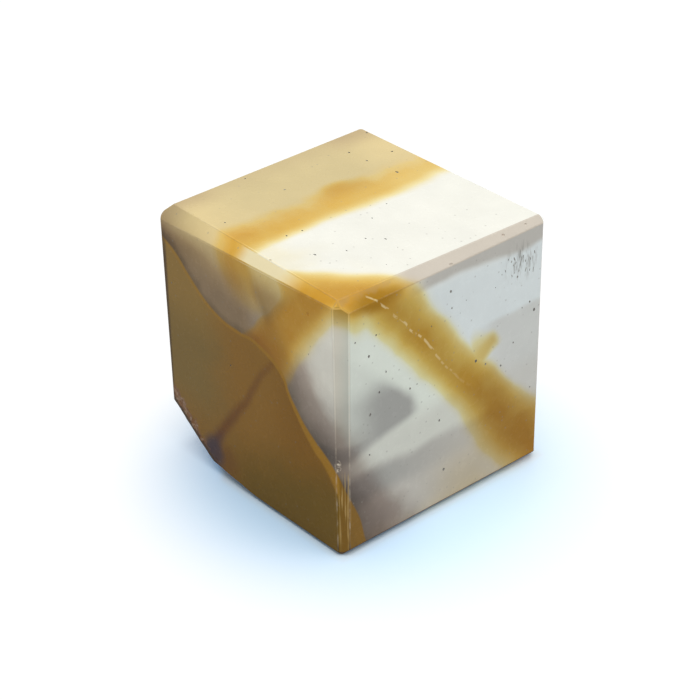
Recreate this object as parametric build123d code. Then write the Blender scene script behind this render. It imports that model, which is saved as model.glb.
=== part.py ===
# A cube of banded jasper: one piece of stone, sawn square, bevelled by hand along every edge and
# polished, with one bottom corner broken away.
#
# Millimetres, +Z up. The origin is the middle of the base's outline, on the surface that the
# block stands on. The front face looks along -Y and the right-hand face along +X. The broken
# corner is the left front one at the base.

import os

from build123d import *

# Block, over its faces
WIDTH = 45.0     # along X
DEPTH = 44.2     # along Y
HEIGHT = 46.0    # along Z

# Bevels. Each value is the set-back from the sharp edge, measured along both faces. Bevels
# ground by hand run wider at one end, so most have a set-back at each end.
TOP_FRONT_AT_LEFT = 2.3
TOP_FRONT_AT_RIGHT = 1.0
TOP_RIGHT_AT_FRONT = 1.8
TOP_RIGHT_AT_BACK = 1.0
TOP_LEFT_AT_FRONT = 1.8
TOP_LEFT_AT_BACK = 0.8
TOP_BACK_AT_LEFT = 0.9
TOP_BACK_AT_RIGHT = 1.4
FRONT_RIGHT_AT_BASE = 1.35
FRONT_RIGHT_AT_TOP = 1.75
FRONT_LEFT_AT_BASE = 1.7
FRONT_LEFT_AT_TOP = 0.85
BACK_RIGHT = 1.5
BACK_LEFT = 1.4
BASE_FRONT_AT_LEFT = 0.8
BASE_FRONT_AT_RIGHT = 0.6
BASE_RIGHT_AT_FRONT = 1.2
BASE_RIGHT_AT_BACK = 1.45
BASE_LEFT = 1.1
BASE_BACK = 1.1

# Polishing rounds the line between a face and a bevel by this much.
ARRIS_RADIUS = 0.3

# Break at the left front corner of the base. It is two flat fractures, and each is set by how
# far it reaches from the sharp corner: up the upright edge, along the front and along the left.
BREAK_UP = 11.0
BREAK_ALONG_FRONT = 14.9
BREAK_ALONG_LEFT = 12.0

# The flake is shallower and runs on along the front edge of the base.
FLAKE_UP = 3.8
FLAKE_ALONG_FRONT = 30.5
FLAKE_ALONG_LEFT = 6.5

# Which end of an axis a corner lies at
LEFT, RIGHT = -1, 1
FRONT, BACK = -1, 1
BASE, TOP = -1, 1


def corner(x_side, y_side, z_side):
    """The place where three faces would meet if the block had no bevels."""
    return Vector(x_side * WIDTH / 2, y_side * DEPTH / 2, (z_side + 1) * HEIGHT / 2)


def grind(stone, on_flat, toward_inside, across):
    """Takes off all that lies outside a flat: on_flat is a point on it, across holds two
    directions in it, and toward_inside points to the side that is kept."""
    outward = across[0].cross(across[1])
    if outward.dot(toward_inside) > 0:
        outward = -outward
    return split(stone, bisect_by=Plane(origin=on_flat, z_dir=outward), keep=Keep.BOTTOM)


def bevel(stone, start, end, setback_at_start, setback_at_end):
    """Grinds a flat along the edge from one corner to another. Corners are given by their
    sides, as (x, y, z)."""
    inward = []
    for axis, (side, other_side) in enumerate(zip(start, end)):
        if side == other_side:
            direction = [0, 0, 0]
            direction[axis] = -side
            inward.append(Vector(*direction))
    near = corner(*start) + inward[0] * setback_at_start
    far = corner(*end) + inward[0] * setback_at_end
    return grind(stone, near, inward[0] + inward[1], (inward[1] - inward[0], far - near))


def bevelled_block():
    """The whole block, as it was before its corner broke away."""
    stone = Box(WIDTH, DEPTH, HEIGHT, align=(Align.CENTER, Align.CENTER, Align.MIN))

    # Four edges round the top
    stone = bevel(stone, (LEFT, FRONT, TOP), (RIGHT, FRONT, TOP), TOP_FRONT_AT_LEFT, TOP_FRONT_AT_RIGHT)
    stone = bevel(stone, (RIGHT, FRONT, TOP), (RIGHT, BACK, TOP), TOP_RIGHT_AT_FRONT, TOP_RIGHT_AT_BACK)
    stone = bevel(stone, (LEFT, FRONT, TOP), (LEFT, BACK, TOP), TOP_LEFT_AT_FRONT, TOP_LEFT_AT_BACK)
    stone = bevel(stone, (LEFT, BACK, TOP), (RIGHT, BACK, TOP), TOP_BACK_AT_LEFT, TOP_BACK_AT_RIGHT)

    # Four uprights
    stone = bevel(stone, (RIGHT, FRONT, BASE), (RIGHT, FRONT, TOP), FRONT_RIGHT_AT_BASE, FRONT_RIGHT_AT_TOP)
    stone = bevel(stone, (LEFT, FRONT, BASE), (LEFT, FRONT, TOP), FRONT_LEFT_AT_BASE, FRONT_LEFT_AT_TOP)
    stone = bevel(stone, (RIGHT, BACK, BASE), (RIGHT, BACK, TOP), BACK_RIGHT, BACK_RIGHT)
    stone = bevel(stone, (LEFT, BACK, BASE), (LEFT, BACK, TOP), BACK_LEFT, BACK_LEFT)

    # Four edges round the base
    stone = bevel(stone, (LEFT, FRONT, BASE), (RIGHT, FRONT, BASE), BASE_FRONT_AT_LEFT, BASE_FRONT_AT_RIGHT)
    stone = bevel(stone, (RIGHT, FRONT, BASE), (RIGHT, BACK, BASE), BASE_RIGHT_AT_FRONT, BASE_RIGHT_AT_BACK)
    stone = bevel(stone, (LEFT, FRONT, BASE), (LEFT, BACK, BASE), BASE_LEFT, BASE_LEFT)
    stone = bevel(stone, (LEFT, BACK, BASE), (RIGHT, BACK, BASE), BASE_BACK, BASE_BACK)

    return fillet(stone.edges(), radius=ARRIS_RADIUS)


def break_corner(stone, up, along_front, along_left):
    """Breaks the left front corner of the base along one flat fracture. Its edges stay sharp."""
    tip = corner(LEFT, FRONT, BASE)
    on_upright = tip + Vector(0, 0, up)
    on_front = tip + Vector(along_front, 0, 0)
    on_left = tip + Vector(0, along_left, 0)
    into_stone = corner(RIGHT, BACK, TOP) - tip
    return grind(stone, on_upright, into_stone, (on_front - on_upright, on_left - on_upright))


def jasper_cube():
    """The block as it is: bevelled, polished and with its corner gone."""
    stone = bevelled_block()
    stone = break_corner(stone, BREAK_UP, BREAK_ALONG_FRONT, BREAK_ALONG_LEFT)
    return break_corner(stone, FLAKE_UP, FLAKE_ALONG_FRONT, FLAKE_ALONG_LEFT)


os.makedirs("parts", exist_ok=True)
export_step(jasper_cube(), "parts/jasper_cube.step")
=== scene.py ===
"""A cube of banded jasper on a pale table: the stone's finish, laid out as a Blender add-on.

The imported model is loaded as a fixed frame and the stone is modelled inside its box, in metres.
"""

import math
import random
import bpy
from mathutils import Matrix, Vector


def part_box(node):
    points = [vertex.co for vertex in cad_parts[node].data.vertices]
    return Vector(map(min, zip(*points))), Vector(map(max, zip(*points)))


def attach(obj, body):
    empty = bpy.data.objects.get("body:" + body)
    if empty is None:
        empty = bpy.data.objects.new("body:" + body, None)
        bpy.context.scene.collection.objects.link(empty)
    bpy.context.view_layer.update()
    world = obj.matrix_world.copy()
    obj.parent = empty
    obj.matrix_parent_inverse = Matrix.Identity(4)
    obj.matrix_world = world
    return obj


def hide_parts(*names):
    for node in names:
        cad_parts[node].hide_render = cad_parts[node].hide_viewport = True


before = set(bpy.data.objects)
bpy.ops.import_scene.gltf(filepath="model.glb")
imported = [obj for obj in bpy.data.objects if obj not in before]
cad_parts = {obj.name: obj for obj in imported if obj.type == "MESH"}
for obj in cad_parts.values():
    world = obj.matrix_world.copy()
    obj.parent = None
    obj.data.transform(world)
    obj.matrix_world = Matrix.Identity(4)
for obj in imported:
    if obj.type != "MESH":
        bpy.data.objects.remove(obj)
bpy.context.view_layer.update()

from types import SimpleNamespace

import bpy
from bpy.props import FloatProperty, FloatVectorProperty, IntProperty, PointerProperty
from mathutils import Euler, Matrix, Vector

bl_info = {
    "name": "Jasper Cube",
    "version": (1, 0, 0),
    "blender": (4, 5, 0),
    "location": "3D View > Sidebar > Jasper",
    "description": "Models and finishes a bevelled cube of banded jasper with one corner broken off",
    "category": "Object",
}

MM = 0.001
NODE = "jasper_cube"
LOW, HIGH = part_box(NODE)
# How far the stone reaches to its right, to its back and up to its top, in millimetres.
SIDE, BACK, TOP = (round(reach / MM, 2) for reach in HIGH)
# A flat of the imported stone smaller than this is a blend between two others.
SMALLEST_FLAT = 5 * MM * MM
# A part of a direction shorter than this counts as none.
SLIGHT = 0.05
# The tool that breaks the corner: how wide, and how many faces along each side.
BREAK_WIDTH = 44 * MM
BREAK_FACES = 120
QUARTZ_IOR = 1.54
# Settings that many shader nodes share: a ramp with soft ends, and a mix of two colours.
SOFT = {"interpolation_type": "SMOOTHSTEP"}
TINT = {"out": 2, "data_type": "RGBA"}


def linear(code):
    """An sRGB colour, written as a hex code, as linear red, green and blue."""
    parts = [int(code[i:i + 2], 16) / 255 for i in (1, 3, 5)]
    return [p / 12.92 if p <= 0.04045 else ((p + 0.055) / 1.055) ** 2.4 for p in parts]


def colour(name, description, code):
    """A colour setting."""
    return FloatVectorProperty(name=name, description=description, subtype="COLOR", size=3,
                               min=0, max=1, default=linear(code))


def length(name, description, millimetres):
    """A length setting."""
    return FloatProperty(name=name, description=description, unit="LENGTH", default=millimetres * MM)


class StoneSettings(bpy.types.PropertyGroup):
    """Sizes of the worked surfaces of the cube."""
    arris: length("Arris", "Radius worn on every edge", 0.42)
    corner: length("Corner", "How far every whole corner is rubbed down", 0.25)
    break_relief: length("Break relief", "Height of the shells on the broken corner", 0.5)
    break_grain: length("Break grain", "Height of the fine grain on the broken corner", 0.12)
    pit: length("Pit", "Usual width of a pit in the polish", 0.35)
    stray_pits: IntProperty(name="Stray pits", description="Pits scattered over the faces", default=44)
    drag_marks: IntProperty(name="Drag marks", description="Short scratches, high on the right", default=36)
    edge_nicks: IntProperty(name="Edge nicks", description="Small nicks along the edges", default=26)
    seed: IntProperty(name="Seed", description="Changes where the strays fall", default=7)


class ColourSettings(bpy.types.PropertyGroup):
    """The colours of the stone."""
    cool_white: colour("Cool white", "Porcelain-like chalcedony", "#E6F0F2")
    pearl: colour("Pearl", "The same, left of the ochre slab", "#E8F1E8")
    # Painted light: the white made lighter in a thin skin under the front face.
    lit_front_white: colour("Milk", "The same, towards the front", "#FAFAEE")
    warm_white: colour("Warm white", "Porcelain near the top", "#FAF9EE")
    tan: colour("Tan", "Cream-tan chalcedony", "#DCC995")
    honey: colour("Honey", "The tan towards the front and back", "#E8D29A")
    husk: colour("Husk", "The tan near the left side", "#C4AC82")
    beige: colour("Beige", "Beige beds low in the white", "#CBCAC3")
    putty: colour("Putty", "The beige by the base", "#C5BDA8")
    grey: colour("Grey", "Grey beds in the white", "#A9ABA8")
    skin: colour("Skin", "Grey layer just under the top", "#C6C5BF")
    # Painted shade: a darker pinkish grey laid on the top right bevel.
    shaded_pink_bevel: colour("Pink skin", "The same layer where the bevel cuts it", "#D6CDBF")
    olive: colour("Olive", "Mustard jasper towards the left", "#886F37")
    sandy_olive: colour("Sandy olive", "The olive high on the left", "#9B7C3D")
    mustard: colour("Mustard", "Mustard jasper", "#946C24")
    deep_mustard: colour("Deep mustard", "Red-brown mustard", "#8B6112")
    dark_olive: colour("Dark olive", "Mustard jasper, low and right", "#765B12")
    golden_olive: colour("Golden olive", "Mustard jasper on the right side", "#86652A")
    rim: colour("Rim", "Light skin of the mustard", "#AD8020")
    vein: colour("Vein", "The dark vein in the mustard", "#74491A")
    pool: colour("Pool", "Where the vein spreads, by the broken corner", "#4F4249")
    bruise: colour("Bruise", "Shaken stone along the broken corner", "#85604A")
    fresh: colour("Fresh break", "Crushed, paler stone on a break", "#A08672")
    # Along the arrises this pale colour is partly a painted highlight; in the bruise and the knock it is the
    # stone's own.
    rubbed: colour("Rubbed edge", "Stone rubbed pale along the edges", "#E4D9C6")
    scratched: colour("Scratched", "Stone scratched pale", "#D2B478")
    burnt: colour("Burnt ochre", "The deepest of the ochre", "#A67810")
    # Painted shade: multiplied over the front right bevel to darken it.
    dim: colour("Dull", "What a dull bevel keeps of the colour", "#EAE8E5")
    # Painted highlight: a pale warm white laid on the white stone of the top front bevel.
    bevel_highlight: colour("Cream", "The white stone on the clearest bevel", "#FFF1C4")
    scuffed: colour("Scuffed", "Scuffed edge of the burnt ochre", "#B9965F")
    # Painted shade: a dark brown laid along the lower and left edges and the break, where shade falls.
    painted_edge_shade: colour("Grime", "Grime along the lower and left edges", "#4A3A28")
    dirt: colour("Dirt", "Polishing dirt packed in the pits", "#93928D")


class StageSettings(bpy.types.PropertyGroup):
    """The table, the light and the camera."""
    floor_colour: colour("Floor", "Colour of the table top", "#E5E2DF")
    floor_seen: colour("Floor seen", "The table top where it is seen straight", "#E6F6FF")
    # Painted light: the table glows with this colour in its shadows, where it is seen straight.
    floor_shadow_glow: colour("Floor lift", "What the table adds in its shadows", "#1F5F88")
    # Painted reflection: the table glows with this colour only where the stone's gloss shows it.
    floor_glow: colour("Floor glow", "What the table adds in the stone's gloss", "#7C8993")
    floor_fade: length("Floor fade", "How far out the table runs into the white of the room", 48)
    fade_centre: FloatVectorProperty(name="Fade centre", description="Middle of the tinted patch", size=3,
                                     subtype="TRANSLATION", default=(0.006, -0.002, 0))
    sky_strength: FloatProperty(name="Sky", description="Light from all round", default=0.25)
    softbox_power: FloatProperty(name="Softbox", description="Light from above", default=17.0, unit="POWER")
    softbox_size: length("Softbox size", "Side of the softbox", 1600)
    softbox_place: FloatVectorProperty(name="Softbox place", description="Middle of the softbox", size=3,
                                       subtype="TRANSLATION", default=(0.3, 0.05, 1.2))
    azimuth: FloatProperty(name="Azimuth", description="How far round from the front the camera stands",
                           subtype="ANGLE", default=math.radians(49.1))
    elevation: FloatProperty(name="Elevation", description="How far above level the camera looks from",
                             subtype="ANGLE", default=math.radians(31.0))
    roll: FloatProperty(name="Roll", description="How far the camera leans",
                        subtype="ANGLE", default=math.radians(-0.73))
    distance: length("Distance", "From the camera to its aim", 348.5)
    aim_height: length("Aim height", "Height of the aim above the table", 22.5)
    aim_right: length("Aim right", "How far right of the stone's middle the camera looks", -0.53)
    aim_up: length("Aim up", "How far above the stone's middle the camera looks", -2.38)
    lens: FloatProperty(name="Lens", description="Focal length, in millimetres", default=108.3)


# --- shaping -------------------------------------------------------------------------------


def deselect():
    """Nothing selected, so that an operator acts only on what comes next."""
    bpy.ops.object.select_all(action="DESELECT")


def select(piece):
    """Only this piece selected and active."""
    deselect()
    piece.select_set(True)
    bpy.context.view_layer.objects.active = piece


def apply_modifier(piece, kind, **settings):
    """Put a modifier on a piece and apply it."""
    select(piece)
    modifier = piece.modifiers.new(kind.lower(), kind)
    for name, value in settings.items():
        setattr(modifier, name, value)
    bpy.ops.object.modifier_apply(modifier=modifier.name)


def settle(piece):
    """Put the piece's place, turn and size into its mesh."""
    select(piece)
    bpy.ops.object.transform_apply(location=True, rotation=True, scale=True)


def flats(node):
    """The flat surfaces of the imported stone: for each, its outward direction and a point on it."""
    areas, middles = {}, {}
    for face in node.data.polygons:
        key = tuple(round(c, 2) for c in face.normal)
        areas[key] = areas.get(key, 0) + face.area
        middles[key] = middles.get(key, Vector()) + face.center * face.area
    found = []
    for key, area in areas.items():
        if area > SMALLEST_FLAT:
            faces = [f for f in node.data.polygons if tuple(round(c, 2) for c in f.normal) == key]
            normal = sum((f.normal * f.area for f in faces), Vector()).normalized()
            found.append((normal, middles[key] / area))
    return found


def is_broken(normal):
    """A broken facet of the stone faces left, forward and down all at once."""
    return all(c < -SLIGHT for c in normal)


def ground_block(stone, found, polished, worn):
    """A cube at the stone's size, ground flat on every bevel, its corners rubbed and its arrises worn."""
    bpy.ops.mesh.primitive_cube_add(size=1, location=(LOW + HIGH) / 2, scale=HIGH - LOW)
    block = bpy.context.object
    block.name = "jasper_stone"
    settle(block)
    bpy.ops.object.mode_set(mode="EDIT")
    for normal, point in found:
        slanted = sum(abs(c) > SLIGHT for c in normal) > 1
        if slanted and not is_broken(normal):
            bpy.ops.mesh.select_all(action="SELECT")
            bpy.ops.mesh.bisect(plane_co=point, plane_no=normal, use_fill=True, clear_outer=True)
    bpy.ops.object.mode_set(mode="OBJECT")
    corners = [Vector((x, y, z)).normalized() for x in (-1, 1) for y in (-1, 1) for z in (-1, 1)]
    corners = [c for c in corners if not is_broken(c)]
    tips = [max((v.co for v in block.data.vertices), key=c.dot).copy() for c in corners]
    block.data.materials.append(polished)
    block.data.materials.append(worn)
    bpy.ops.object.mode_set(mode="EDIT")
    for corner, tip in zip(corners, tips):
        bpy.ops.mesh.select_all(action="SELECT")
        bpy.ops.mesh.bisect(plane_co=tip - corner * stone.corner, plane_no=corner, use_fill=True,
                            clear_outer=True)
    bpy.ops.mesh.select_all(action="SELECT")
    bpy.ops.mesh.remove_doubles(threshold=0.01 * MM)
    # Two flats half a right angle apart are rounded to the arris by this offset.
    offset = stone.arris * math.tan(math.radians(22.5))
    bpy.ops.mesh.bevel(offset=offset, segments=4, affect="EDGES", clamp_overlap=True, material=1)
    bpy.ops.mesh.select_all(action="SELECT")
    bpy.ops.mesh.normals_make_consistent(inside=False)
    bpy.ops.object.mode_set(mode="OBJECT")
    return block


def relief(name, kind, grain, **settings):
    """A relief for roughening stone: its kind, and the size of its grain."""
    texture = bpy.data.textures.new(name, kind)
    texture.noise_scale = grain
    for key, value in settings.items():
        setattr(texture, key, value)
    return texture


def break_tool(stone, normal, point, material):
    """What a blow took off the corner: a shelly, grainy surface with everything beyond it."""
    turn = normal.to_track_quat("Z", "Y").to_euler()
    deselect()
    bpy.ops.mesh.primitive_grid_add(x_subdivisions=BREAK_FACES, y_subdivisions=BREAK_FACES, size=BREAK_WIDTH,
                                    location=point + normal * 0.4 * MM, rotation=turn)
    tool = bpy.context.object
    shells = relief("shells", "CLOUDS", 6 * MM, noise_depth=1)
    grain = relief("grain", "CLOUDS", 0.8 * MM, noise_depth=2)
    for texture, height in ((shells, stone.break_relief), (grain, stone.break_grain)):
        apply_modifier(tool, "DISPLACE", texture=texture, strength=height, mid_level=1, direction="Z",
                       texture_coords="LOCAL")
    settle(tool)
    bpy.ops.object.mode_set(mode="EDIT")
    bpy.ops.mesh.select_all(action="SELECT")
    bpy.ops.mesh.extrude_region_move(TRANSFORM_OT_translate={"value": normal * BREAK_WIDTH})
    bpy.ops.mesh.select_all(action="SELECT")
    bpy.ops.mesh.normals_make_consistent(inside=False)
    bpy.ops.object.mode_set(mode="OBJECT")
    tool.data.materials.append(material)
    return tool


def carve(stone, tool):
    """Take the tool's shape out of the stone. The cut faces keep the tool's material."""
    apply_modifier(stone, "BOOLEAN", object=tool, operation="DIFFERENCE", solver="EXACT",
                   material_mode="TRANSFER")
    bpy.data.objects.remove(tool)


def pit_shape():
    """One rough hollow, about 1 across, to copy for every pit and nick."""
    deselect()
    bpy.ops.mesh.primitive_ico_sphere_add(subdivisions=2, radius=0.5, location=(0, 0, 0))
    pit = bpy.context.object
    lumps = relief("lumps", "CLOUDS", 0.45)
    apply_modifier(pit, "DISPLACE", texture=lumps, strength=0.35, mid_level=0.5)
    return pit


def pits(shape, places, material):
    """Copies of one hollow at each place: where, how wide along three directions, and its turn."""
    copies = []
    for where, widths, turn in places:
        copy = shape.copy()
        copy.data = shape.data.copy()
        copy.matrix_world = Matrix.LocRotScale(Vector(where) * MM, Euler(turn), Vector(widths) * MM)
        bpy.context.collection.objects.link(copy)
        copies.append(copy)
    deselect()
    for copy in copies:
        copy.select_set(True)
    bpy.context.view_layer.objects.active = copies[0]
    bpy.ops.object.join()
    tool = bpy.context.object
    settle(tool)
    tool.data.materials.clear()
    tool.data.materials.append(material)
    return tool


# Pits that catch the eye, in millimetres: across and up on the right face, and on the top.
RIGHT_PITS = (
    (-16.5, 35.3, 0.7), (0.5, 40.1, 0.7), (-14.4, 28.0, 0.6), (-16.3, 24.7, 0.7), (-1.6, 17.3, 0.6),
    (-0.5, 7.4, 0.8), (6.3, 25.1, 0.8), (8.5, 23.7, 0.6), (12.0, 21.9, 0.6), (14.7, 25.2, 0.5),
    (18.2, 31.5, 0.6), (19.3, 29.6, 0.8), (15.2, 37.2, 0.6), (-19.2, 38.7, 0.5), (-15.0, 38.4, 0.5),
    (-13.0, 31.1, 0.5), (-8.0, 26.0, 0.6), (-6.5, 26.2, 0.4), (0.8, 37.0, 0.5), (-3.5, 35.4, 0.4),
    (-20.7, 39.6, 0.4), (3.9, 37.2, 0.35), (2.6, 35.4, 0.3), (10.3, 37.0, 0.35), (16.5, 31.0, 0.4),
)
TOP_PITS = (
    (4.5, 0.3, 0.6), (9.0, -5.0, 0.6), (11.2, -2.8, 0.7), (10.0, -9.8, 0.6), (7.7, -14.3, 0.8),
    (-5.0, 14.3, 1.0), (-11.5, 13.5, 0.7), (14.5, -3.3, 0.4), (-12.5, -3.5, 0.7), (17.5, -8.3, 0.4),
)


def hollow_places(stone):
    """Where the pits lie: the ones that catch the eye, the drag marks, and strays on every face.

    Each is set a few hundredths of a millimetre under its face, and strays keep off the bevels.
    """
    chance = random.Random(stone.seed)
    places = []

    def add_hollow(where, widths):
        places.append((where, widths, (chance.uniform(-0.3, 0.3), chance.uniform(-0.3, 0.3), 0)))

    for across, up, wide in RIGHT_PITS:
        add_hollow((SIDE - 0.04, across, up), (0.35 * wide, 0.7 * wide, 0.85 * wide))
    for x, y, wide in TOP_PITS:
        add_hollow((x, y, TOP - 0.03), (0.8 * wide, 0.5 * wide, 0.22 * wide))
    for _ in range(stone.drag_marks):
        across, up = chance.gauss(15.6, 2.3), chance.gauss(39.4, 1.7)
        tall = chance.uniform(0.6, 2.4)
        apart = all(math.hypot(w[1] - across, (w[2] - up) / 3) > 0.4 for w, _, _ in places)
        if across < 19.6 and up + tall < 43.4 and apart:
            add_hollow((SIDE - 0.01, across, up), (0.1, chance.uniform(0.14, 0.24), tall))
    half, gap = 20.2, 1.2
    sides = ("front", "back", "back", "left", "left", "right", "right", "top", "base", "base")
    for _ in range(stone.stray_pits):
        side = chance.choice(sides)
        a, b = chance.uniform(-half, half), chance.uniform(2, 44)
        wide = chance.choice((0.6, 0.75, 0.95, 1.2)) * stone.pit / MM
        where = {"front": (a, 0.02 - BACK, b), "back": (a, BACK - 0.02, b),
                 "left": (0.02 - SIDE, a, b), "right": (SIDE - 0.02, a, b),
                 "top": (a, b - TOP / 2, TOP - 0.02), "base": (a, b - TOP / 2, 0.02)}[side]
        if all((Vector(w) - Vector(where)).length > gap for w, _, _ in places):
            add_hollow(where, (wide, wide, wide))
    return places


def nick_places(stone):
    """Where the nicks lie: beside the broken corner, and strays 2 mm apart along the edges of the cube."""
    chance = random.Random(stone.seed + 1)
    places = []
    for x, z, wide, tall in ((-20.2, 11.6, 1.3, 2.6), (-19.0, 9.9, 1.7, 1.5), (-17.3, 8.9, 1.9, 1.5),
                             (-15.7, 7.4, 1.7, 2.0), (-13.7, 5.3, 1.3, 1.0), (-9.7, 2.9, 0.5, 1.1)):
        places.append(((x, -22.2, z), (wide, 0.55, tall), (0, chance.uniform(-0.7, -0.3), 0)))
    for y, z, wide, tall in ((-20.6, 12.2, 1.5, 1.6), (-17.4, 9.2, 1.9, 1.4), (-14.2, 5.4, 1.6, 1.2)):
        places.append(((-22.6, y, z), (0.5, wide, tall), (chance.uniform(0.2, 0.6), 0, 0)))
    for where, widths in (((15.0, -22.12, 41.7), (0.8, 0.3, 0.7)), ((21.85, 17.3, 45.6), (0.35, 0.6, 0.35)),
                          ((22.35, 0.6, 44.8), (0.25, 0.8, 0.4)), ((4.4, -20.4, 45.9), (0.6, 0.4, 0.3))):
        places.append((where, widths, (0, 0, 0)))
    places.append(((20.9, -20.9, 45.2), (1.0, 0.7, 0.5), (0.3, 0.2, 0)))
    inset, gap, broken_off = 0.5, 2, -32
    for _ in range(stone.edge_nicks):
        edge = chance.choice(("x", "y", "z"))
        along = chance.uniform(-20, 20)
        s, t = chance.choice((-1, 1)), chance.choice((-1, 1))
        if edge == "x":
            where = (along, s * (BACK - inset), TOP / 2 + t * (TOP / 2 - inset))
        elif edge == "y":
            where = (s * (SIDE - inset), along, TOP / 2 + t * (TOP / 2 - inset))
        else:
            where = (s * (SIDE - inset), t * (BACK - inset), along + TOP / 2)
        where = Vector(where)
        wide = chance.uniform(0.35, 0.8)
        clear = all((Vector(w) - where).length > gap for w, _, _ in places)
        if clear and sum(where) > broken_off:
            places.append((tuple(where), (wide, wide, wide), (chance.random(), chance.random(), 0)))
    return places


# --- the stone's colours ----------------------------------------------------------------------
# Below, c is the colour settings, and at is the fields of a point in the stone, in millimetres.


def add(tree, kind, inputs=(), out=0, stops=None, **settings):
    """Add a node with its settings, set or join its inputs, and hand back one of its outputs.

    Inputs go by number or name: 0 is a mix's strength, and 6 and 7 its two colours; 0 is what a range maps,
    1 and 2 are where it starts and ends, and 3 and 4 what it gives there.
    """
    node = tree.nodes.new("ShaderNode" + kind)
    for name, value in settings.items():
        setattr(node, name, value)
    if stops and kind == "FloatCurve":
        points = node.mapping.curves[0].points
        while len(points) < len(stops):
            points.new(0.5, 0.5)
        for point, place in zip(points, stops):
            point.location = place
        node.mapping.update()
    elif stops:
        steps = node.color_ramp.elements
        while len(steps) < len(stops):
            steps.new(0.5)
        for step, (place, shade) in zip(steps, stops):
            step.position = place
            step.color = shade
        node.color_ramp.interpolation = "LINEAR"
    for name, value in dict(inputs).items():
        if isinstance(value, bpy.types.NodeSocket):
            tree.links.new(value, node.inputs[name])
        elif hasattr(value, "__len__") and len(value) < len(node.inputs[name].default_value):
            node.inputs[name].default_value = (*value, 1)
        else:
            node.inputs[name].default_value = value
    return node.outputs[out]


# Planes of the stone that its finish follows: for each, a direction and how far along it the plane lies,
# in millimetres.
FRONT_RIGHT_BEVEL = ((1, -1, 0.0087), 43.25)
TOP_RIGHT_BEVEL = ((1, -0.018, 1), 67.1)
TOP_FRONT_BEVEL = ((-0.0289, -1, 1), 66.45)
BREAK = ((0.478, 0.594, 0.648), -16.75)
# The mustard's upper surface: along the slope and up from it, in millimetres.
CONTACT = ((-25, 0.8), (-22, 1), (-18, 0.35), (-13, -0.05), (-9, 0.3), (-4, 2.4), (0, 4.8), (5, 5.8),
           (7.2, 5.5), (9, 4.4), (12, 3), (16.5, 1.8), (22.5, 1.8), (26, 0.7), (33, -4))
# How strong the ochre is through its slab, by millimetres from the slab's middle.
SLAB = ((-10.5, 0), (-8, 0.02), (-6.3, 0.25), (-4.5, 0.54), (-3, 0.82), (-1.5, 0.95), (0, 1), (2.5, 0.93),
        (4.2, 0.82), (5.8, 0.6), (6.9, 0.38), (7.9, 0.14), (9.1, 0.02), (11.5, 0))
# What a strength of iron stain lets through of the white: blue goes first, then green.
IRON = ((0, "#FFFFFF"), (0.25, "#FCECB7"), (0.5, "#F2D385"), (0.75, "#E7BD5F"), (1, "#CE9935"))
# How strong the grey stain is, by millimetres above the mustard: it hangs on at the left, and clears at
# the right.
HANGING = ((0, 1), (1.3, 0.86), (2, 0.74), (3.4, 0.66), (5, 0.57), (7, 0.45), (9, 0.36), (12, 0.34),
           (18, 0.3), (24, 0))
CLEARING = ((0, 1), (1.7, 0.84), (3, 0.75), (4.5, 0.63), (6.5, 0.5), (8, 0.33), (9.3, 0.17), (11, 0.05),
            (12.5, 0), (24, 0))
# What the grey stain lets through.
SMOKE = ((0, "#FFFFFF"), (0.25, "#E1DCDA"), (0.5, "#C2B6B2"), (0.75, "#A29590"), (1, "#7F746C"))


def bed(tree, place, direction, start):
    """How far a point lies along a direction past the start, in millimetres: one flat bed of the stone."""
    along = add(tree, "VectorMath", {0: place, 1: direction}, out="Value", operation="DOT_PRODUCT")
    return add(tree, "Math", {0: along, 1: start}, operation="SUBTRACT")


def within(tree, *parts, operation="MULTIPLY"):
    """Strengths multiplied together, or put together by another operation.

    A part is a strength, or a soft limit: a field, where it starts, where it ends, and the strengths there,
    which are 0 and 1 unless given.
    """
    whole = None
    for part in parts:
        if isinstance(part, tuple):
            field, start, end, *strengths = part
            low, high = strengths or (0, 1)
            part = add(tree, "MapRange", {0: field, 1: start, 2: end, 3: low, 4: high}, **SOFT)
        whole = add(tree, "Math", {0: whole, 1: part}, operation=operation) if whole else part
    return whole


def blob(tree, place, middle, scale, edge, core, strength):
    """A soft round patch, stretched by a scale: nothing past its edge, and full strength inside its core."""
    away = add(tree, "VectorMath", {0: place, 1: middle}, operation="SUBTRACT")
    away = add(tree, "VectorMath", {0: away, 1: scale}, operation="MULTIPLY")
    away = add(tree, "VectorMath", {0: away}, out="Value", operation="LENGTH")
    return add(tree, "MapRange", {0: away, 1: edge, 2: core, 4: strength}, **SOFT)


def profile(tree, field, stops):
    """A strength read off a curve along a field. The stops are pairs of millimetres and strength."""
    start, end = stops[0][0], stops[-1][0]
    along = add(tree, "MapRange", {0: field, 1: start, 2: end})
    return add(tree, "FloatCurve", {1: along}, stops=[((a - start) / (end - start), b) for a, b in stops])


def lay(tree, shade, *coats):
    """Coats laid over a shade one after another, each a strength or a soft limit, and a colour."""
    for strength, coat in coats:
        shade = add(tree, "Mix", {0: within(tree, strength), 6: shade, 7: coat}, **TINT)
    return shade


def stained(tree, shade, strength, stops):
    """A shade seen through a stain of some strength."""
    stops = [(place, (*linear(code), 1)) for place, code in stops]
    stain = add(tree, "ValToRGB", {0: strength}, stops=stops)
    return add(tree, "Mix", {0: 1, 6: shade, 7: stain}, blend_type="MULTIPLY", **TINT)


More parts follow.
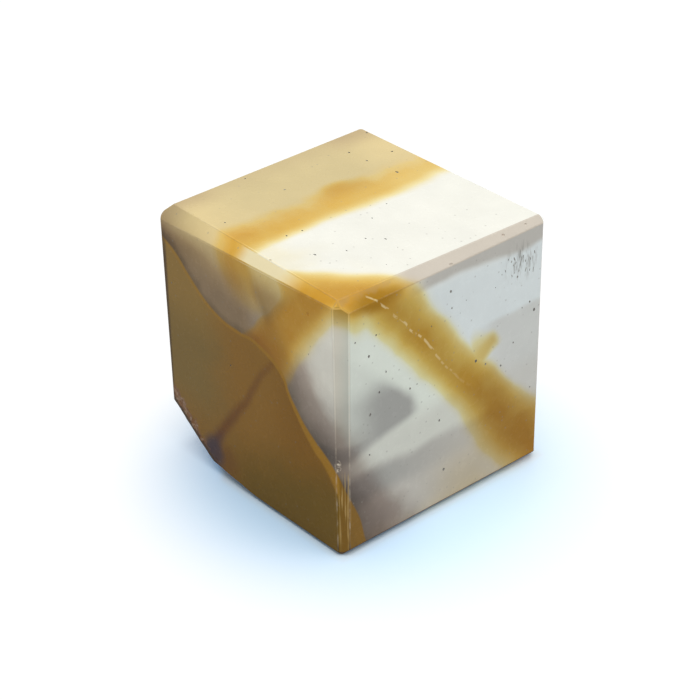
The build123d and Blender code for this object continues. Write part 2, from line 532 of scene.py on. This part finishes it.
def stone_fields(tree):
    """Where a point lies in the stone: its place in millimetres, and how far it is from the main beds."""
    point = add(tree, "TexCoord", out="Object")
    at = SimpleNamespace(mm=add(tree, "VectorMath", {0: point, "Scale": 1000}, operation="SCALE"))
    at.x, at.y, at.z = add(tree, "SeparateXYZ", {0: at.mm}).node.outputs

    # Every bed wanders a little: 0.3 mm over 9 mm, and very little over 2 mm.
    slow = add(tree, "TexNoise", {"Vector": at.mm, "Scale": 0.11, "Detail": 1}, out=1)
    quick = add(tree, "TexNoise", {"Vector": at.mm, "Scale": 0.5, "Detail": 2}, out=1)
    slow = add(tree, "VectorMath", {0: slow, 1: (0.5, 0.5, 0.5)}, operation="SUBTRACT")
    quick = add(tree, "VectorMath", {0: quick, 1: (0.5, 0.5, 0.5)}, operation="SUBTRACT")
    place = add(tree, "VectorMath", {0: slow, 1: (2, 2, 2), 2: at.mm}, operation="MULTIPLY_ADD")
    at.place = add(tree, "VectorMath", {0: quick, 1: (0.25, 0.25, 0.25), 2: place}, operation="MULTIPLY_ADD")
    at.across, at.back, at.up = add(tree, "SeparateXYZ", {0: at.place}).node.outputs
    at.cloud = add(tree, "TexNoise", {"Vector": at.mm, "Scale": 0.16, "Detail": 3, "Roughness": 0.55})
    at.waver = add(tree, "MapRange", {0: at.cloud, 1: 0.3, 2: 0.7, 3: -1.2, 4: 1.2})
    # The mustard wanders only slowly. Its zones run from left to right.
    at.steady = add(tree, "VectorMath", {0: slow, 1: (1, 1, 1), 2: at.mm}, operation="MULTIPLY_ADD")
    zone = add(tree, "SeparateXYZ", {0: at.steady}, out="X")
    at.zone = add(tree, "Math", {0: zone, 1: at.waver}, operation="ADD")
    # The golden sheet and the ochre slab, both stained by iron.
    at.sheet = bed(tree, at.place, (1, 0, 0.6), 25.1)
    at.slab = bed(tree, at.place, (-1.13, 1.2, 1), -8.95)

    # Contact: how far over the mustard's upper surface. Its curve spans from start to end and low to high.
    start, end, low, high = -30, 35, -12, 12
    turned = add(tree, "Mapping", {"Vector": at.steady, "Location": (14.15, 22.1, -23),
                                   "Rotation": (0, math.radians(-31.6), 0)})
    along, depth, rise = add(tree, "SeparateXYZ", {0: turned}).node.outputs
    curve = add(tree, "MapRange", {0: along, 1: start, 2: end})
    stops = [((a - start) / (end - start), (b - low) / (high - low)) for a, b in CONTACT]
    curve = add(tree, "FloatCurve", {1: curve}, stops=stops)
    curve = add(tree, "MapRange", {0: curve, 3: low, 4: high})
    fall = within(tree, (along, -8, 27, 0.3, 1.3))
    over = add(tree, "Math", {0: rise, 1: curve}, operation="SUBTRACT")
    at.over = add(tree, "Math", {0: depth, 1: fall, 2: over}, operation="MULTIPLY_ADD")
    return at


def white_beds(tree, c, at):
    """Porcelain-like white: warm at the top, cool below, with grey and beige beds, and tan on the left."""
    across, back, up = at.across, at.back, at.up
    pearly = bed(tree, at.place, (0, -1.2, -1), -22)
    low = within(tree, (up, 15.6, 12.8, 0, 0.5), (up, 23.5, 18.5, 0, 0.5), operation="ADD")
    bottom = within(tree, (up, 14, 4), (back, -8, 4))
    beige = lay(tree, c.beige, (bottom, c.putty))

    # Grey bed over the beige, fading to the right.
    fading = add(tree, "MapRange", {0: back, 1: 9, 2: -13, 4: 0.85})
    bedded = within(tree, (up, 7.5, 11), (up, 15.6, 13), fading)

    # Grey leaf: a wedge of grey between two beds near the right side, deepest along its foot.
    shoulder = bed(tree, at.place, (0, -0.67, -0.745), -13.5)
    keel = bed(tree, at.place, (0, -0.25, 1), 22.7)
    deep = within(tree, (back, -22, -13, 0.4, 1), (up, 31.5, 26, 0.3, 1))
    deep = within(tree, deep, (keel, 4.5, 1.5, 0, 0.85), operation="MAXIMUM")
    leaf = within(tree, (shoulder, -1, 1.5), (keel, -1.1, 1.1), (back, -5, -8.5), (across, 11, 20), deep)

    # Beige-grey bed behind the ochre slab, with a level top.
    wedge = within(tree, (up, 31.6, 30.2, 0, 0.55), (back, 6, 12))

    # Grey skin just under the top on the right; on the bevel, which cuts it flat, a pinkish grey is painted
    # as shade.
    skin = within(tree, up, (back, 9, 17, 0, 0.9), operation="ADD")
    skin = within(tree, (skin, 41.9, 43.3), (at.x, 22.1, 22.4), (back, -9, -3))
    pink = bed(tree, at.mm, *TOP_RIGHT_BEVEL)
    pink = within(tree, (pink, -0.3, -0.1), (back, -13, -7))

    # Tan on the left of the golden sheet.
    tan = within(tree, (at.sheet, 0.5, -6), (up, 34, 43, 0.75, 1))
    outward = add(tree, "Math", {0: back}, operation="ABSOLUTE")
    outer = within(tree, (across, -15, -21.5), (outward, 10, 16, 0.3, 0.8))
    honey = lay(tree, c.honey, ((outward, 21, 9), c.tan), (outer, c.husk))

    # Under the front face the white is lightened as painted light.
    return lay(tree, c.cool_white, ((pearly, -8, 0), c.pearl), ((back, -19.8, -21.8), c.lit_front_white),
               ((up, 41, 46), c.warm_white), (low, beige), (bedded, c.grey), (leaf, c.grey),
               (wedge, c.beige), (skin, c.skin), (pink, c.shaded_pink_bevel), (tan, honey))


def iron_stain(tree, at):
    """How strong the iron stain is, and how strong its pale wash on the front alone."""
    across, back, up, sheet, slab = at.across, at.back, at.up, at.sheet, at.slab

    # Golden sheet: upright at the top, leaning right as it goes down, and sharper on its right.
    left = add(tree, "Math", {0: at.waver, 1: 0.4, 2: sheet}, operation="MULTIPLY_ADD")
    lobe = add(tree, "VectorMath", {0: at.place, 1: (-6, 4.5, 46)}, out="Value", operation="DISTANCE")
    left = within(tree, left, (lobe, 6.5, 1.5, 0, 2), (back, -12, -20, 0, 1.3), operation="ADD")
    swell = within(tree, (back, 4, 11, 0, 0.8), (back, 19.5, 15, -0.4, 1))
    right = add(tree, "Math", {0: sheet, 1: swell}, operation="SUBTRACT")
    right = within(tree, (right, 4.5, 0.1), (back, 8, 14, 1, 0.8))
    golden = within(tree, (left, -6.6, -0.5), right, (up, 33, 44.5, 0, 0.8), (back, -4, -14, 0.94, 1.04))

    # Ochre slab, 8 mm thick, from the front of the top down to the rear of the right side.
    sway = within(tree, (up, 27, 21, 0, 0.8), (up, 12, 18))
    gap = add(tree, "Math", {0: slab, 1: sway}, operation="SUBTRACT")
    gap = add(tree, "Math", {0: gap, 1: 10.5}, operation="SUBTRACT")
    gap = within(tree, gap, (up, 20, 8, 1, 0.68))
    spread = within(tree, (across, 14, 7, 0, 2.5), (back, -16.5, -20, 0, 3.5), operation="ADD")
    below = add(tree, "Math", {0: gap, 1: spread}, operation="ADD")
    below = add(tree, "Math", {0: below, 1: 0}, operation="MINIMUM")
    above = add(tree, "Math", {0: gap, 1: 0}, operation="MAXIMUM")
    above = within(tree, above, (up, 37, 43, 1, 0.8))
    narrow = within(tree, (back, -17, -21, 0, 0.9), (up, 45, 41))
    above = add(tree, "Math", {0: above, 1: narrow, 2: above}, operation="MULTIPLY_ADD")
    through = add(tree, "Math", {0: below, 1: above}, operation="ADD")
    rear = within(tree, (back, 12, 19, 1, 0.86), (up, 16, 10), operation="MAXIMUM")
    ochre = within(tree, profile(tree, through, SLAB), rear)

    # Its spur: a soft thumb of it standing off the rear of the slab, on the right only.
    spur = bed(tree, at.place, (0, -0.57, 0.82), 16.87)
    spur = add(tree, "Math", {0: spur}, operation="ABSOLUTE")
    flare = within(tree, (back, 10, 5.5, 1, 2.4))
    spur = add(tree, "Math", {0: spur, 1: flare}, operation="DIVIDE")
    tip = bed(tree, at.place, (0, 0.82, 0.57), 24.3)
    spur = within(tree, (spur, 2.5, 0.1, 0, 0.52), (tip, 1.4, -0.6), (back, 3.5, 6), (across, 18, 21))

    # A pale wash of it on the front, between the sheet and the slab.
    wash = within(tree, (up, 46.4, 44.2, 0, 0.38), (sheet, 0, 3), (slab, 10, 14), (back, -8, -18))
    ochre = within(tree, ochre, spur, wash, operation="MAXIMUM")
    iron = add(tree, "Math", {0: golden, 1: ochre}, operation="MAXIMUM")
    both = add(tree, "Math", {0: golden, 1: ochre, 2: iron}, operation="MULTIPLY_ADD")
    patchy = add(tree, "MapRange", {0: at.cloud, 1: 0.3, 2: 0.7, 3: 0.88, 4: 1.06})
    iron = add(tree, "Math", {0: both, 1: patchy}, operation="MULTIPLY", use_clamp=True)
    return within(tree, iron, (up, 44.8, 45.8, 1, 0.97)), wash


def smoke_stain(tree, at, iron, wash):
    """How strong the grey stain over the mustard is. The iron keeps it off, and the wash brings it on.

    It hangs on for 20 mm on the left, and clears by 14 mm on the right.
    """
    reach = add(tree, "MapRange", {0: at.cloud, 1: 0.3, 2: 0.7, 3: -0.6, 4: 1})
    far = within(tree, at.over, (at.up, 12, 4, 1, 0.68))
    far = add(tree, "Math", {0: far, 1: reach}, operation="ADD")
    side = within(tree, (at.across, 5, 12))
    shift = add(tree, "Math", {0: iron, 1: 6}, operation="MULTIPLY")
    far = add(tree, "Math", {0: side, 1: shift, 2: far}, operation="MULTIPLY_ADD")
    hanging, clearing = profile(tree, far, HANGING), profile(tree, far, CLEARING)
    smoke = add(tree, "Mix", {0: side, 2: hanging, 3: clearing}, data_type="FLOAT")
    smoke = within(tree, smoke, (at.up, 46.2, 40.5), (at.across, 20.5, 22, 1, 0.93))
    spared = add(tree, "MapRange", {0: iron, 3: 1, 4: 0.45})
    smoke = add(tree, "Math", {0: smoke, 1: spared}, operation="MULTIPLY", use_clamp=True)
    shaded = within(tree, (at.up, 44.5, 40, 0, 0.75))
    smoke = add(tree, "Math", {0: wash, 1: shaded, 2: smoke}, operation="MULTIPLY_ADD", use_clamp=True)
    patch = blob(tree, at.place, (-2.5, -22, 37.5), (0.12, 0.1, 0.2), 1.2, 0.3, 0.2)
    return add(tree, "Math", {0: smoke, 1: patch}, operation="ADD", use_clamp=True)


def mustard_jasper(tree, c, at):
    """The mustard jasper: olive to the left, mustard, and dark olive low down on the right."""
    mm, up, zone = at.mm, at.up, at.zone
    olive = lay(tree, c.olive, ((up, 23, 34), c.sandy_olive))
    lefty = within(tree, (zone, -2, -13), (up, 7, 17, 0.25, 1))
    sunk = bed(tree, at.steady, (-0.25, 0, 1), 0)
    sunk = add(tree, "Math", {0: sunk, 1: at.waver}, operation="ADD")
    sunk = within(tree, (sunk, 15, 3), (zone, -12, 2))

    # Vein: brown and thin at the top, spreading to a slate-purple pool at the broken corner.
    vein = bed(tree, at.place, (-0.816, 0.25, 0.578), 6.36)
    vein = add(tree, "Math", {0: vein}, operation="ABSOLUTE")
    width = add(tree, "MapRange", {0: up, 1: 30, 2: 5, 3: 0.9, 4: 2.3})
    vein = add(tree, "Math", {0: vein, 1: width}, operation="DIVIDE")
    fading = add(tree, "MapRange", {0: up, 1: 32, 2: 8, 3: 0.35, 4: 1})
    vein = within(tree, (vein, 1, 0), fading)
    dark = lay(tree, c.vein, ((up, 11, 4.5), c.pool))
    # The pool itself, and the red-brown stain to its right.
    pool = blob(tree, at.place, (-10.6, -22, 4.4), (0.3, 0.1, 0.26), 1.1, 0.4, 0.85)
    stain = blob(tree, at.place, (-7.5, -22, 4), (0.2, 0.1, 0.2), 1, 0.3, 0.5)

    # Bruise: shaken, pinkish stone along the broken corner, up to 2 mm in from the break.
    bruise = bed(tree, mm, *BREAK)
    depth = add(tree, "MapRange", {0: zone, 1: -20, 2: -11, 3: 2.3, 4: 0.7})
    bruise = add(tree, "Math", {0: bruise, 1: depth}, operation="SUBTRACT")
    flaky = add(tree, "TexNoise", {"Vector": mm, "Scale": 0.9, "Detail": 4})
    flaky = add(tree, "MapRange", {0: flaky, 1: 0.3, 2: 0.7, 3: -0.9, 4: 0.9})
    bruise = add(tree, "Math", {0: bruise, 1: flaky}, operation="ADD")
    end = add(tree, "MapRange", {0: zone, 1: -10, 2: -13})
    bruise = within(tree, (bruise, 0.3, -0.3, 0, 0.8), end)
    crumbs = add(tree, "TexVoronoi", {"Vector": mm, "Scale": 2.2}, out="Color")
    crumbs = add(tree, "SeparateColor", {0: crumbs}, out=0)
    crumbs = add(tree, "MapRange", {0: crumbs, 1: 0.6, 2: 0.95, 4: 0.32})
    shaken = lay(tree, c.bruise, (crumbs, c.rubbed))

    # Light skin just inside the contact: a faint line on the left, a crisp golden one on the right.
    wide = within(tree, (zone, 8, 21, 0.7, 2.2))
    rim = add(tree, "Math", {0: at.over, 1: wide}, operation="DIVIDE")
    rim = within(tree, (rim, -1.4, -0.9), (zone, -6, 14, 0.5, 0.85))

    return lay(tree, c.mustard, (lefty, olive), ((zone, 3, 13), c.deep_mustard), (sunk, c.dark_olive),
               (vein, dark), (stain, c.vein), (pool, c.pool), (bruise, shaken), (rim, c.rim),
               ((at.x, 21.1, 21.6, 0, 0.9), c.golden_olive))


def jasper_colour(tree, c):
    """The colour at any point inside the stone, from its beds and stains, and the fields of that point."""
    at = stone_fields(tree)
    iron, wash = iron_stain(tree, at)
    smoke = smoke_stain(tree, at, iron, wash)

    # The slab is burnt deeper where it meets the top front right corner.
    burnt = blob(tree, at.place, (23, -15, 45.5), (0.45, 0.15, 0.24), 1.05, 0.55, 0.9)

    # Broken white thread along the middle of the ochre slab.
    thread = add(tree, "Math", {0: at.slab, 1: 10.3}, operation="SUBTRACT")
    thread = add(tree, "Math", {0: thread}, operation="ABSOLUTE")
    dashes = add(tree, "TexNoise", {"Vector": at.mm, "Scale": 0.8, "Detail": 1})
    near = add(tree, "MapRange", {0: at.across, 1: 21, 2: 22})
    thread = within(tree, (thread, 0.42, 0.12), (dashes, 0.42, 0.52), (at.back, 7, -6, 0, 0.75), near)

    body = stained(tree, white_beds(tree, c, at), iron, IRON)
    body = lay(tree, body, (burnt, c.burnt), (thread, c.honey))
    body = stained(tree, body, smoke, SMOKE)
    body = lay(tree, body, ((at.over, 0.25, -0.35), mustard_jasper(tree, c, at)))
    # Soft clouding all through, 3% either way.
    tone = add(tree, "MapRange", {0: at.cloud, 1: 0.3, 2: 0.7, 3: 0.97, 4: 1.03})
    return add(tree, "VectorMath", {0: body, "Scale": tone}, operation="SCALE"), at


# --- what the stone's surfaces are made of ----------------------------------------------------


def new_material(name, constants):
    """A new material with constants set on its shader, handed back with its tree and that shader."""
    material = bpy.data.materials.new(name)
    material.use_nodes = True
    shader = material.node_tree.nodes["Principled BSDF"]
    for socket, value in constants.items():
        shader.inputs[socket].default_value = value
    return material, material.node_tree, shader


def polished_jasper(c):
    """Jasper, diamond-sawn and polished by hand: a soft satin gloss over colour that runs into the stone."""
    material, tree, shader = new_material("polished_jasper", {"IOR": QUARTZ_IOR, "Specular IOR Level": 0.08})
    shade, at = jasper_colour(tree, c)
    mm, x, y, z = at.mm, at.x, at.y, at.z

    # Specks: pinholes of 0.15 mm, too small to cut.
    cell = add(tree, "TexVoronoi", {"Vector": mm, "Scale": 0.7}, out="Distance")
    kept = add(tree, "TexVoronoi", {"Vector": mm, "Scale": 0.7}, out="Color")
    kept = add(tree, "SeparateColor", {0: kept}, out=0)
    kept = add(tree, "MapRange", {0: kept, 1: 0.66, 2: 0.72})
    speck = within(tree, (cell, 0.16, 0.07, 0, 0.35), kept)

    # Scuffs: short upright grey streaks high on the right side, 0.5 mm wide, too shallow to cut.
    patch = add(tree, "VectorMath", {0: mm, 1: (22.5, 16.2, 39.8)}, out="Value", operation="DISTANCE")
    scuff = add(tree, "VectorMath", {0: mm, 1: (1, 1.3, 0.35)}, operation="MULTIPLY")
    scuff = add(tree, "TexNoise", {"Vector": scuff, "Scale": 1, "Detail": 3})
    scuff = within(tree, (scuff, 0.48, 0.64), (patch, 5, 1.5, 0, 0.55))
    speck = add(tree, "Math", {0: speck, 1: scuff}, operation="MAXIMUM")
    shade = lay(tree, shade, (speck, c.dirt))

    # The bevel between the front and the right is darkened above the mustard with painted shade, olive at
    # its head, and scratched with pale upright streaks, 0.3 mm wide, low down.
    bevel = bed(tree, mm, *FRONT_RIGHT_BEVEL)
    bevel = within(tree, (bevel, -0.35, -0.1))
    dim = within(tree, (z, 19, 25), bevel)
    shade = add(tree, "Mix", {0: dim, 6: shade, 7: c.dim}, blend_type="MULTIPLY", **TINT)
    head = within(tree, (z, 41, 44, 0, 0.3), bevel)
    streak = add(tree, "VectorMath", {0: mm, 1: (3.2, 3.2, 0.16)}, operation="MULTIPLY")
    streak = add(tree, "TexNoise", {"Vector": streak, "Scale": 1, "Detail": 2})
    streak = within(tree, (streak, 0.52, 0.64, 0, 0.55), (z, 16.5, 14.5), bevel)
    shade = lay(tree, shade, (head, c.olive), (streak, c.scratched))

    # The bevel between the top and the front is lightened with painted light, a little darker at its left
    # end, and its white stone gets a painted highlight.
    clear = bed(tree, mm, *TOP_FRONT_BEVEL)
    clear = within(tree, (clear, -0.35, -0.1))
    painted_light_gain = within(tree, (x, -19, -6, -0.08, 0.24))
    painted_light_gain = add(tree, "Math", {0: clear, 1: painted_light_gain, 2: 1}, operation="MULTIPLY_ADD")
    shade = add(tree, "VectorMath", {0: shade, "Scale": painted_light_gain}, operation="SCALE")
    # Painted highlight on the white stone of this bevel.
    clear = within(tree, clear, (x, -3.2, 0.4), (x, 14, 6.5))

    # The bevel between the top and the right is scuffed brown along its upper edge, towards the front.
    scuffed = bed(tree, mm, *TOP_RIGHT_BEVEL)
    ragged = add(tree, "TexNoise", {"Vector": mm, "Scale": 0.6, "Detail": 3})
    ragged = add(tree, "MapRange", {0: ragged, 1: 0.3, 2: 0.7, 3: -0.4, 4: 0.4})
    ragged = add(tree, "Math", {0: z, 1: ragged}, operation="ADD")
    scuffed = within(tree, (scuffed, -0.35, -0.1, 0, 0.45), (ragged, 45.1, 45.8), (y, -9, -12))

    # A knock on the front right bevel, just above the mustard, has gone white.
    knock = blob(tree, mm, (21.3, -22, 17), (1.5, 1.5, 0.75), 1, 0.7, 0.9)
    crumbs = add(tree, "TexNoise", {"Vector": mm, "Scale": 2, "Detail": 2})
    crumbs = add(tree, "MapRange", {0: crumbs, 1: 0.45, 2: 0.6})
    knock = within(tree, knock, crumbs)

    # Painted shade darkens the last half millimetre of the front, up its left edge and along the break.
    upper = add(tree, "MapRange", {0: z, 1: 43.5, 2: 37.5})
    line = within(tree, (x, -20.3, -21, 0, 0.85), upper)
    broken = bed(tree, mm, *BREAK)
    line = within(tree, line, (broken, 0.75, 0.3, 0, 0.85), operation="MAXIMUM")
    front = add(tree, "MapRange", {0: y, 1: -21.8, 2: -22})
    line = within(tree, line, front)
    shade = lay(tree, shade, (clear, c.bevel_highlight), (scuffed, c.scuffed), (knock, c.rubbed), (line, c.painted_edge_shade))
    tree.links.new(shade, shader.inputs["Base Color"])

    # Polish: even, with a faint orange-peel of the lap about 1 mm across.
    lap = add(tree, "TexNoise", {"Vector": mm, "Scale": 0.9, "Detail": 3})
    gloss = add(tree, "MapRange", {0: lap, 1: 0.3, 2: 0.7, 3: 0.2, 4: 0.3})
    tree.links.new(gloss, shader.inputs["Roughness"])
    bump = add(tree, "Bump", {"Strength": 0.25, "Distance": 0.01 * MM, "Height": lap})
    tree.links.new(bump, shader.inputs["Normal"])
    return material


def worn_highlit_shaded_jasper(c):
    """Jasper along its edges: the same colours, a little less glossy, paler where rubbed by handling and as
    a painted highlight, and darker along the base and up the left with painted shade.
    """
    constants = {"Roughness": 0.45, "IOR": QUARTZ_IOR, "Specular IOR Level": 0.08}
    material, tree, shader = new_material("edge_worn_jasper", constants)
    shade, at = jasper_colour(tree, c)
    # Paler arrises: partly rubbed stone, and partly a painted highlight where the edges catch the light.
    rubbed = add(tree, "TexNoise", {"Vector": at.mm, "Scale": 0.7, "Detail": 4})
    less = add(tree, "MapRange", {0: at.z, 1: 43.5, 2: 42, 3: 0.3, 4: 1})
    rubbed = within(tree, (rubbed, 0.35, 0.65, 0.05, 0.3), less)
    # Painted shade darkens the arrises along the base and up the left.
    low = add(tree, "MapRange", {0: at.z, 1: 3, 2: 1.5, 4: 0.8})
    left = add(tree, "MapRange", {0: at.x, 1: -20.5, 2: -21.5, 4: 0.75})
    upper = add(tree, "MapRange", {0: at.z, 1: 43, 2: 40})
    left = within(tree, left, upper)
    painted_edge_shade = add(tree, "Math", {0: low, 1: left}, operation="MAXIMUM")
    shade = lay(tree, shade, (rubbed, c.rubbed), (painted_edge_shade, c.painted_edge_shade))
    tree.links.new(shade, shader.inputs["Base Color"])
    return material


def broken_jasper(c):
    """Jasper, broken by a blow: the same colours, matt and a little paler where it is crushed."""
    constants = {"Roughness": 0.75, "IOR": QUARTZ_IOR, "Specular IOR Level": 0.1}
    material, tree, shader = new_material("broken_jasper", constants)
    shade, at = jasper_colour(tree, c)
    noise = {"Vector": at.mm, "Scale": 0.8, "Detail": 5, "Roughness": 0.65}
    crushed = add(tree, "TexNoise", noise)
    shade = lay(tree, shade, ((crushed, 0.45, 0.7, 0.1, 0.6), c.fresh))
    tree.links.new(shade, shader.inputs["Base Color"])
    grit = add(tree, "TexNoise", {"Vector": at.mm, "Scale": 3, "Detail": 4})
    bump = add(tree, "Bump", {"Strength": 0.5, "Distance": 0.06 * MM, "Height": grit})
    tree.links.new(bump, shader.inputs["Normal"])
    return material


def pit_dirt(c):
    """Pits in the polish, packed with grey lapping dirt: dull dark dots."""
    material, tree, shader = new_material("lapping_dirt", {"Roughness": 0.9})
    point = add(tree, "TexCoord", out="Object")
    mm = add(tree, "VectorMath", {0: point, "Scale": 1000}, operation="SCALE")
    mottle = add(tree, "TexNoise", {"Vector": mm, "Scale": 2.5, "Detail": 3})
    mottle = add(tree, "MapRange", {0: mottle, 1: 0.3, 2: 0.7, 3: 0.6, 4: 1.3})
    shade = add(tree, "VectorMath", {0: c.dirt, "Scale": mottle}, operation="SCALE")
    tree.links.new(shade, shader.inputs["Base Color"])
    return material


def seen_rays(tree):
    """Two strengths: 1 for what the camera sees straight, and 1 for that and what a gloss or glass shows."""
    straight = add(tree, "LightPath", out="Is Camera Ray")
    rays = straight.node.outputs
    seen = add(tree, "Math", {0: straight, 1: rays["Is Glossy Ray"]}, operation="MAXIMUM")
    return straight, add(tree, "Math", {0: seen, 1: rays["Is Transmission Ray"]}, operation="MAXIMUM")


def white_card(stage):
    """Smooth white card, for the table: it glows a little blue in its shadows as painted light, fading into
    the white room far out.
    """
    material, tree, shader = new_material("white_card", {"Roughness": 0.8})
    straight, seen = seen_rays(tree)
    point = add(tree, "TexCoord", out="Object")
    away = add(tree, "VectorMath", {0: point, 1: stage.fade_centre}, out="Value", operation="DISTANCE")
    away = within(tree, (away, 0.45 * stage.floor_fade, stage.floor_fade), straight)
    shade = lay(tree, stage.floor_colour, (straight, stage.floor_seen), (away, (0, 0, 0)))
    tree.links.new(shade, shader.inputs["Base Color"])

    # Right against the stone the glow is cut back, painting a dark contact shadow, 1 mm wide, where the two
    # meet.
    beside = add(tree, "VectorMath", {0: point}, operation="ABSOLUTE")
    beside = add(tree, "VectorMath", {0: beside, 1: HIGH}, operation="SUBTRACT")
    across, back, _ = add(tree, "SeparateXYZ", {0: beside}).node.outputs
    beside = add(tree, "Math", {0: across, 1: back}, operation="MAXIMUM")
    broken = bed(tree, point, (-0.627, -0.779, 0), 21.97 * MM)
    beside = add(tree, "Math", {0: beside, 1: broken}, operation="MAXIMUM")
    beside = within(tree, (beside, -0.2 * MM, 1.6 * MM, 0.3, 1))
    lift = lay(tree, stage.floor_glow, (straight, stage.floor_shadow_glow))
    lift = add(tree, "VectorMath", {0: lift, "Scale": beside}, operation="SCALE")
    lift = lay(tree, lift, (away, (1, 1, 1)))
    tree.links.new(lift, shader.inputs["Emission Color"])
    tree.links.new(seen, shader.inputs["Emission Strength"])
    return material


def white_room(stage):
    """A room that shows as plain white, and lights the stone far less than that."""
    world = bpy.data.worlds.new("room")
    world.use_nodes = True
    tree = world.node_tree
    background = tree.nodes["Background"]
    background.inputs["Color"].default_value = (1, 1, 1, 1)
    _, seen = seen_rays(tree)
    strength = add(tree, "MapRange", {0: seen, 3: stage.sky_strength, 4: 1})
    tree.links.new(strength, background.inputs["Strength"])
    return world


# --- operators --------------------------------------------------------------------------------


class JASPER_OT_stone(bpy.types.Operator):
    """Grind the block, break its corner, pit and nick it, and finish it"""
    bl_idname = "jasper.stone"
    bl_label = "Stone"

    def execute(self, context):
        stone = context.scene.jasper_stone
        colours = context.scene.jasper_colours
        polished, worn = polished_jasper(colours), worn_highlit_shaded_jasper(colours)
        broken, dirt = broken_jasper(colours), pit_dirt(colours)
        found = flats(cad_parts[NODE])
        deselect()
        block = ground_block(stone, found, polished, worn)
        facets = sorted((f for f in found if is_broken(f[0])), key=lambda f: f[1].z)
        if len(facets) != 2:
            raise RuntimeError("the packed stone should have two broken facets, not %d" % len(facets))
        for normal, point in facets:
            carve(block, break_tool(stone, normal, point, broken))
        shape = pit_shape()
        carve(block, pits(shape, nick_places(stone), broken))
        carve(block, pits(shape, hollow_places(stone), dirt))
        bpy.data.objects.remove(shape)
        select(block)
        bpy.ops.object.shade_smooth_by_angle(angle=math.radians(30))
        apply_modifier(block, "WEIGHTED_NORMAL", keep_sharp=True)
        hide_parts(NODE)
        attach(block, "root")
        return {"FINISHED"}


def face_camera(stage):
    """Where the camera stands, as a matrix with its right, its up and its back as the axes."""
    turn, rise, roll = stage.azimuth, stage.elevation, stage.roll
    back = Vector((math.sin(turn) * math.cos(rise), -math.cos(turn) * math.cos(rise), math.sin(rise)))
    level = Vector((math.cos(turn), math.sin(turn), 0))
    upright = back.cross(level)
    right = level * math.cos(roll) + upright * math.sin(roll)
    up = upright * math.cos(roll) - level * math.sin(roll)
    aim = Vector((0, 0, stage.aim_height)) + right * stage.aim_right + up * stage.aim_up
    place = Matrix((right, up, back)).transposed().to_4x4()
    place.translation = aim + back * stage.distance
    return place


class JASPER_OT_stage(bpy.types.Operator):
    """Lay the table, hang the light and stand the camera"""
    bl_idname = "jasper.stage"
    bl_label = "Stage"

    def execute(self, context):
        stage = context.scene.jasper_stage
        deselect()
        bpy.ops.mesh.primitive_plane_add(size=4, location=(0, 0, 0))
        floor = context.object
        floor.name = "table_top"
        floor.data.materials.append(white_card(stage))
        context.scene.world = white_room(stage)

        bpy.ops.object.light_add(type="AREA", location=stage.softbox_place)
        softbox = context.object
        softbox.name = "softbox"
        softbox.data.shape = "SQUARE"
        softbox.data.size = stage.softbox_size
        softbox.data.energy = stage.softbox_power
        softbox.rotation_euler = Vector(stage.softbox_place).to_track_quat("Z", "Y").to_euler()

        bpy.ops.object.camera_add()
        camera = context.object
        camera.name = "camera"
        camera.data.lens = stage.lens
        camera.matrix_world = face_camera(stage)
        context.scene.camera = camera
        context.scene.view_settings.view_transform = "Standard"
        return {"FINISHED"}


class JASPER_PT_panel(bpy.types.Panel):
    """The pieces and the stage, in the sidebar."""
    bl_idname = "JASPER_PT_panel"
    bl_label = "Jasper cube"
    bl_space_type = "VIEW_3D"
    bl_region_type = "UI"
    bl_category = "Jasper"

    def draw(self, context):
        for settings, button in ((context.scene.jasper_stone, "jasper.stone"),
                                 (context.scene.jasper_colours, None),
                                 (context.scene.jasper_stage, "jasper.stage")):
            box = self.layout.box()
            for name in settings.__annotations__:
                box.prop(settings, name)
            if button:
                box.operator(button)


CLASSES = (StoneSettings, ColourSettings, StageSettings, JASPER_OT_stone, JASPER_OT_stage, JASPER_PT_panel)


def register():
    for cls in CLASSES:
        bpy.utils.register_class(cls)
    bpy.types.Scene.jasper_stone = PointerProperty(type=StoneSettings)
    bpy.types.Scene.jasper_colours = PointerProperty(type=ColourSettings)
    bpy.types.Scene.jasper_stage = PointerProperty(type=StageSettings)


def unregister():
    del bpy.types.Scene.jasper_stage
    del bpy.types.Scene.jasper_colours
    del bpy.types.Scene.jasper_stone
    for cls in reversed(CLASSES):
        bpy.utils.unregister_class(cls)


def main():
    """Register the add-on, and make the stone and its stage."""
    register()
    bpy.ops.jasper.stone()
    bpy.ops.jasper.stage()


if __name__ == "__main__":
    main()
